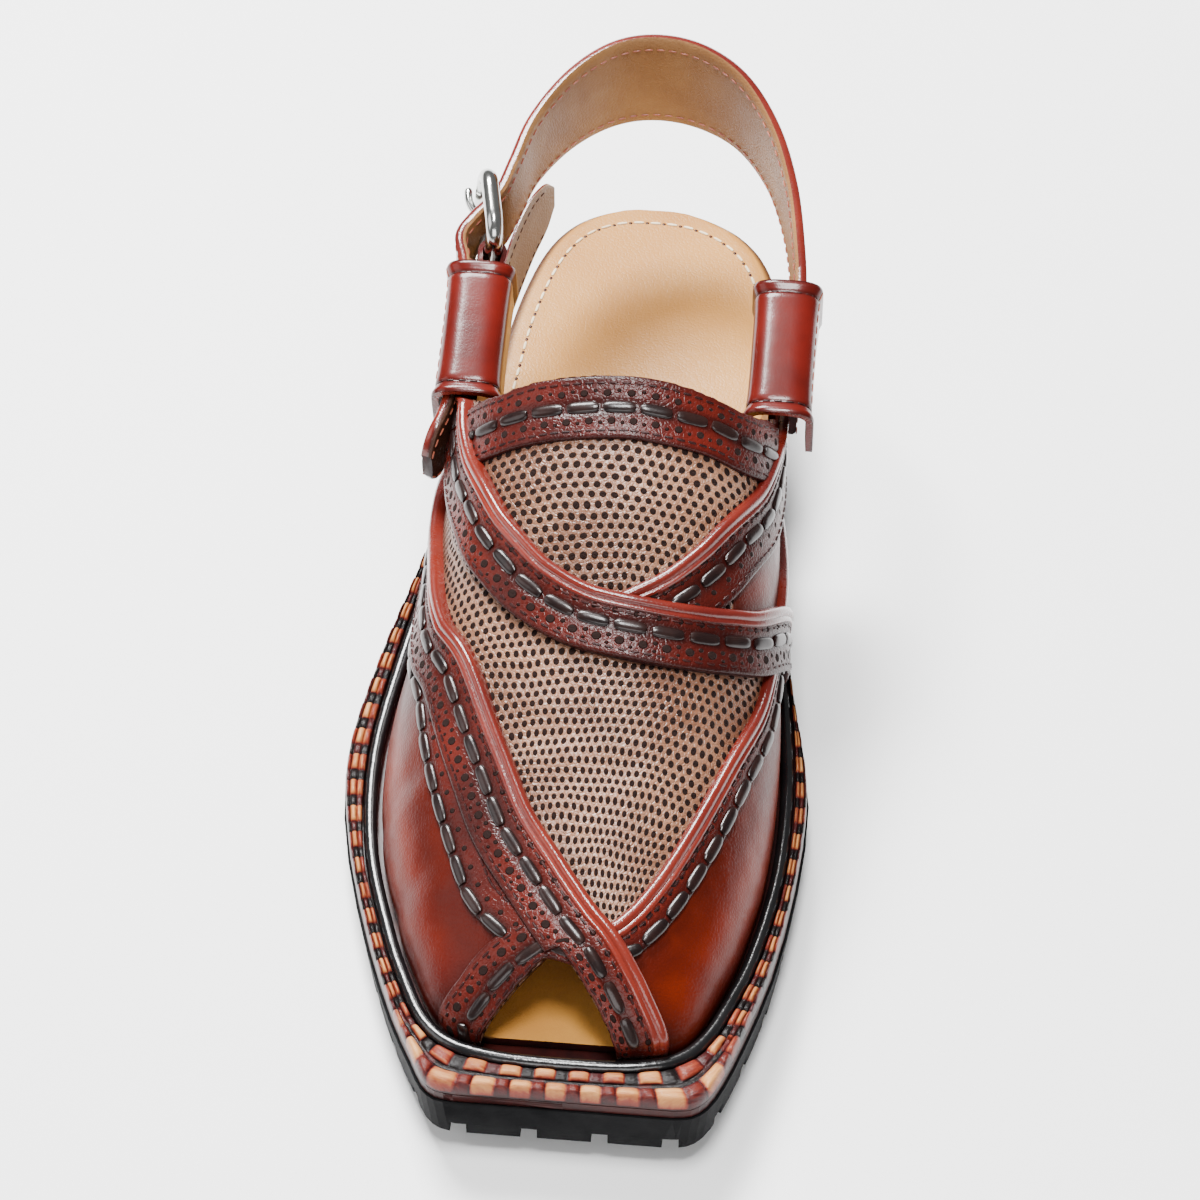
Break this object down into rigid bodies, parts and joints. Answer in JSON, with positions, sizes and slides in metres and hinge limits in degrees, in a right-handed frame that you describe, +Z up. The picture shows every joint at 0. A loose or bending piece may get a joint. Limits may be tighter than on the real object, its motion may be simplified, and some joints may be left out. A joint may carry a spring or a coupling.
{
  "type": "chappal",
  "caption": "Leather chappal for the right foot: crossing straps over perforated panels, an open toe and heel, a buckled heel strap, a braided welt and a ribbed black rubber sole",
  "frame": {"origin": "on the floor, below the middle of the bounding box", "axes": "+Z is up from the floor, -Y points from the heel to the toe, +X points to the inner (medial) side of the right foot"},
  "size_m": [0.1181, 0.29, 0.104],
  "materials": {
    "outsole_rubber": "matt black, moulded",
    "sole_leather": "dark red-brown dyed edge",
    "lining_leather": "smooth undyed tan, half matt",
    "welt_braid": "braided lace in tan, maroon and black, half gloss",
    "rand_cord": "rolled black edging, glossy",
    "upper_leather": "burnished chestnut, polished",
    "buckle_steel": "polished"
  },
  "bodies": {
    "root": {"outsole": "outsole_rubber", "midsole": "sole_leather", "insole": "lining_leather", "welt": "welt_braid", "rand": "rand_cord", "upper": "upper_leather", "heel_strap": "upper_leather", "comfort_tab": "lining_leather", "sleeve_lateral": "upper_leather", "sleeve_medial": "upper_leather", "chape": "upper_leather", "buckle_frame": "buckle_steel", "buckle_prong": "buckle_steel"}
  },
  "joints": []
}
